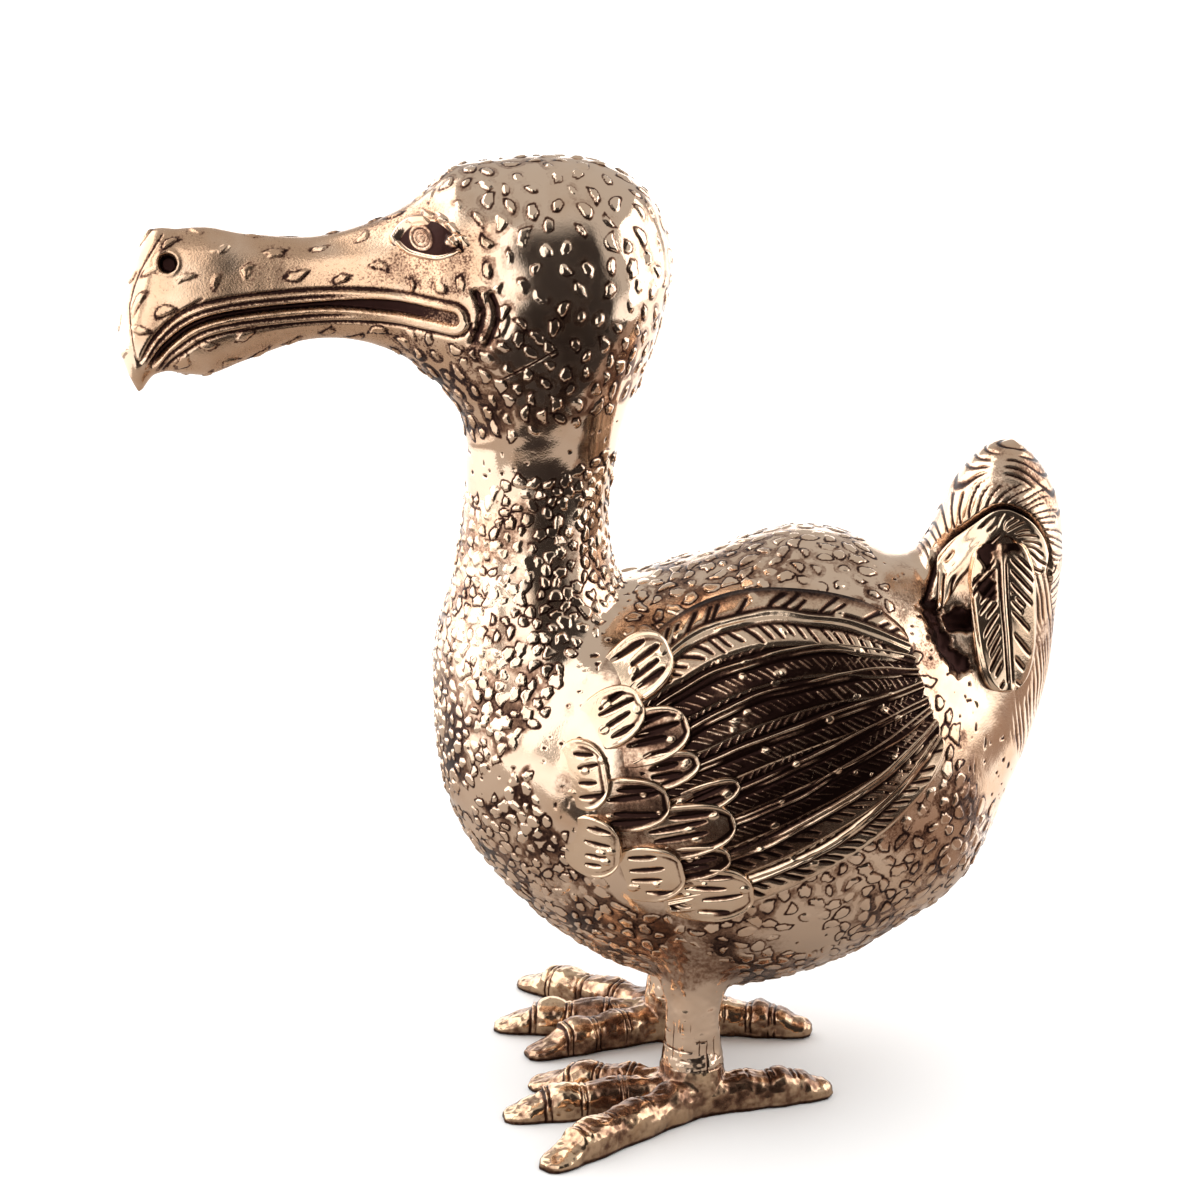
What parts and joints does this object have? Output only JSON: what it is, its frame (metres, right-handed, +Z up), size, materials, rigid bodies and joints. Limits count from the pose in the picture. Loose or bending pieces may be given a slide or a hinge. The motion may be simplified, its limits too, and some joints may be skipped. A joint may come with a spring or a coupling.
{
  "type": "dodo sculpture",
  "caption": "Standing dodo ornament in polished cast bronze with dark patina, a hooked bill, pebbled skin, feathered relief wings and an upright curled tail.",
  "frame": {"origin": "on the ground under the middle of the bird's length, on its plane of symmetry", "axes": "+Z up, -X the way the bird faces, -Y the bird's left side"},
  "size_m": [0.2982, 0.1438, 0.3053],
  "materials": {
    "bronze": "polished gold-toned bronze with dark brown patina in the recesses",
    "feather_bronze": "bronze left darker between the feathers",
    "foot_bronze": "bronze with dark patina between the toe rings",
    "pin_bronze": "drawn bronze rod, dressed flush",
    "steel": "plain steel fastener"
  },
  "bodies": {
    "root": {"head": "bronze", "neck": "bronze", "body": "bronze", "tail": "bronze", "leg_left": "bronze", "leg_right": "bronze", "wing_left": "feather_bronze", "wing_right": "feather_bronze", "tail_curl_left": "feather_bronze", "tail_curl_right": "feather_bronze", "foot_left": "foot_bronze", "foot_right": "foot_bronze", "head_pin_left": "pin_bronze", "head_pin_right": "pin_bronze", "neck_pin_left": "pin_bronze", "neck_pin_right": "pin_bronze", "tail_pin_left": "pin_bronze", "tail_pin_right": "pin_bronze", "leg_washer_left": "steel", "leg_washer_right": "steel", "leg_nut_left": "steel", "leg_nut_right": "steel"}
  },
  "joints": []
}
